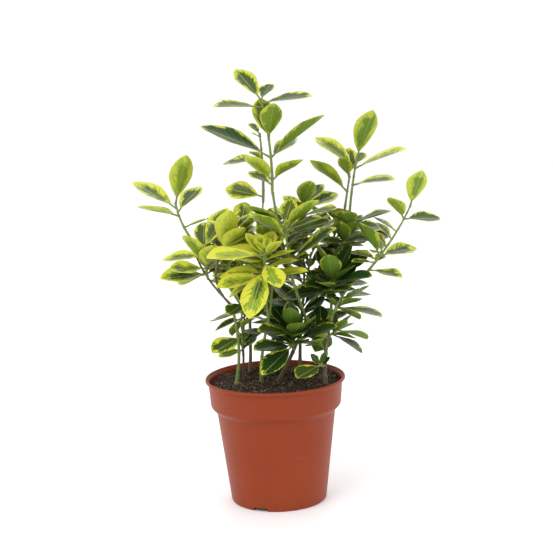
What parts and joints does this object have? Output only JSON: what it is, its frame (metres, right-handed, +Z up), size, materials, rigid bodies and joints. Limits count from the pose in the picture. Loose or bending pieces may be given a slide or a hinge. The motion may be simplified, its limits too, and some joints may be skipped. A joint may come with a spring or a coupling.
{
  "type": "potted japanese spindle",
  "caption": "Young evergreen spindle shrub with slender forked stems and opposite, variegated leathery leaves, standing in a round tapered nursery pot filled with soil.",
  "frame": {"origin": "centre of the pot's flat underside", "axes": "+Z up along the pot's axis, -Y towards the side that the plant shows to the front, +X to that viewer's right"},
  "size_m": [0.2614, 0.1706, 0.3683],
  "materials": {
    "pot": "satin terracotta-coloured plastic",
    "soil": "crumbly dark peat soil",
    "bark": "thin matt bark",
    "green_stem": "smooth green stem",
    "leaf": "leathery, semi-gloss, variegated"
  },
  "bodies": {
    "root": {"pot": "pot", "soil": "soil", "cane_front": "bark", "cane_middle": "green_stem", "cane_left": "green_stem", "cane_left_thin": "bark", "cane_right": "bark", "cane_back_left": "bark", "cane_back_right": "bark", "cane_back": "bark", "bough_top": "green_stem", "bough_middle": "green_stem", "bough_centre": "green_stem", "bough_far_left": "bark", "bough_left": "bark", "bough_right": "green_stem", "bough_right_twin": "green_stem", "bough_far_right": "green_stem", "bough_centre_left": "green_stem", "bough_centre_back": "green_stem", "bough_top_back": "green_stem", "bough_back_left": "green_stem", "bough_back_right": "green_stem", "bough_back": "green_stem", "crown_top": "leaf", "crown_top_back": "leaf", "crown_front": "leaf", "crown_middle": "leaf", "crown_centre": "leaf", "crown_far_left": "leaf", "crown_left": "leaf", "crown_left_upper": "leaf", "crown_centre_left": "leaf", "crown_centre_back": "leaf", "crown_right": "leaf", "crown_right_twin": "leaf", "crown_right_inner": "leaf", "crown_right_middle": "leaf", "crown_far_right": "leaf", "crown_right_low": "leaf", "spray_right_low": "leaf", "spray_right_foot": "leaf", "spray_middle_low": "leaf", "spray_left_low": "leaf", "spray_left_foot": "leaf", "crown_right_centre": "leaf", "spray_right_middle": "leaf", "crown_left_back": "leaf", "crown_right_back": "leaf", "crown_low_back": "leaf", "crown_back_left": "leaf", "crown_back_right": "leaf", "crown_back": "leaf", "crown_back_low": "leaf"}
  },
  "joints": []
}
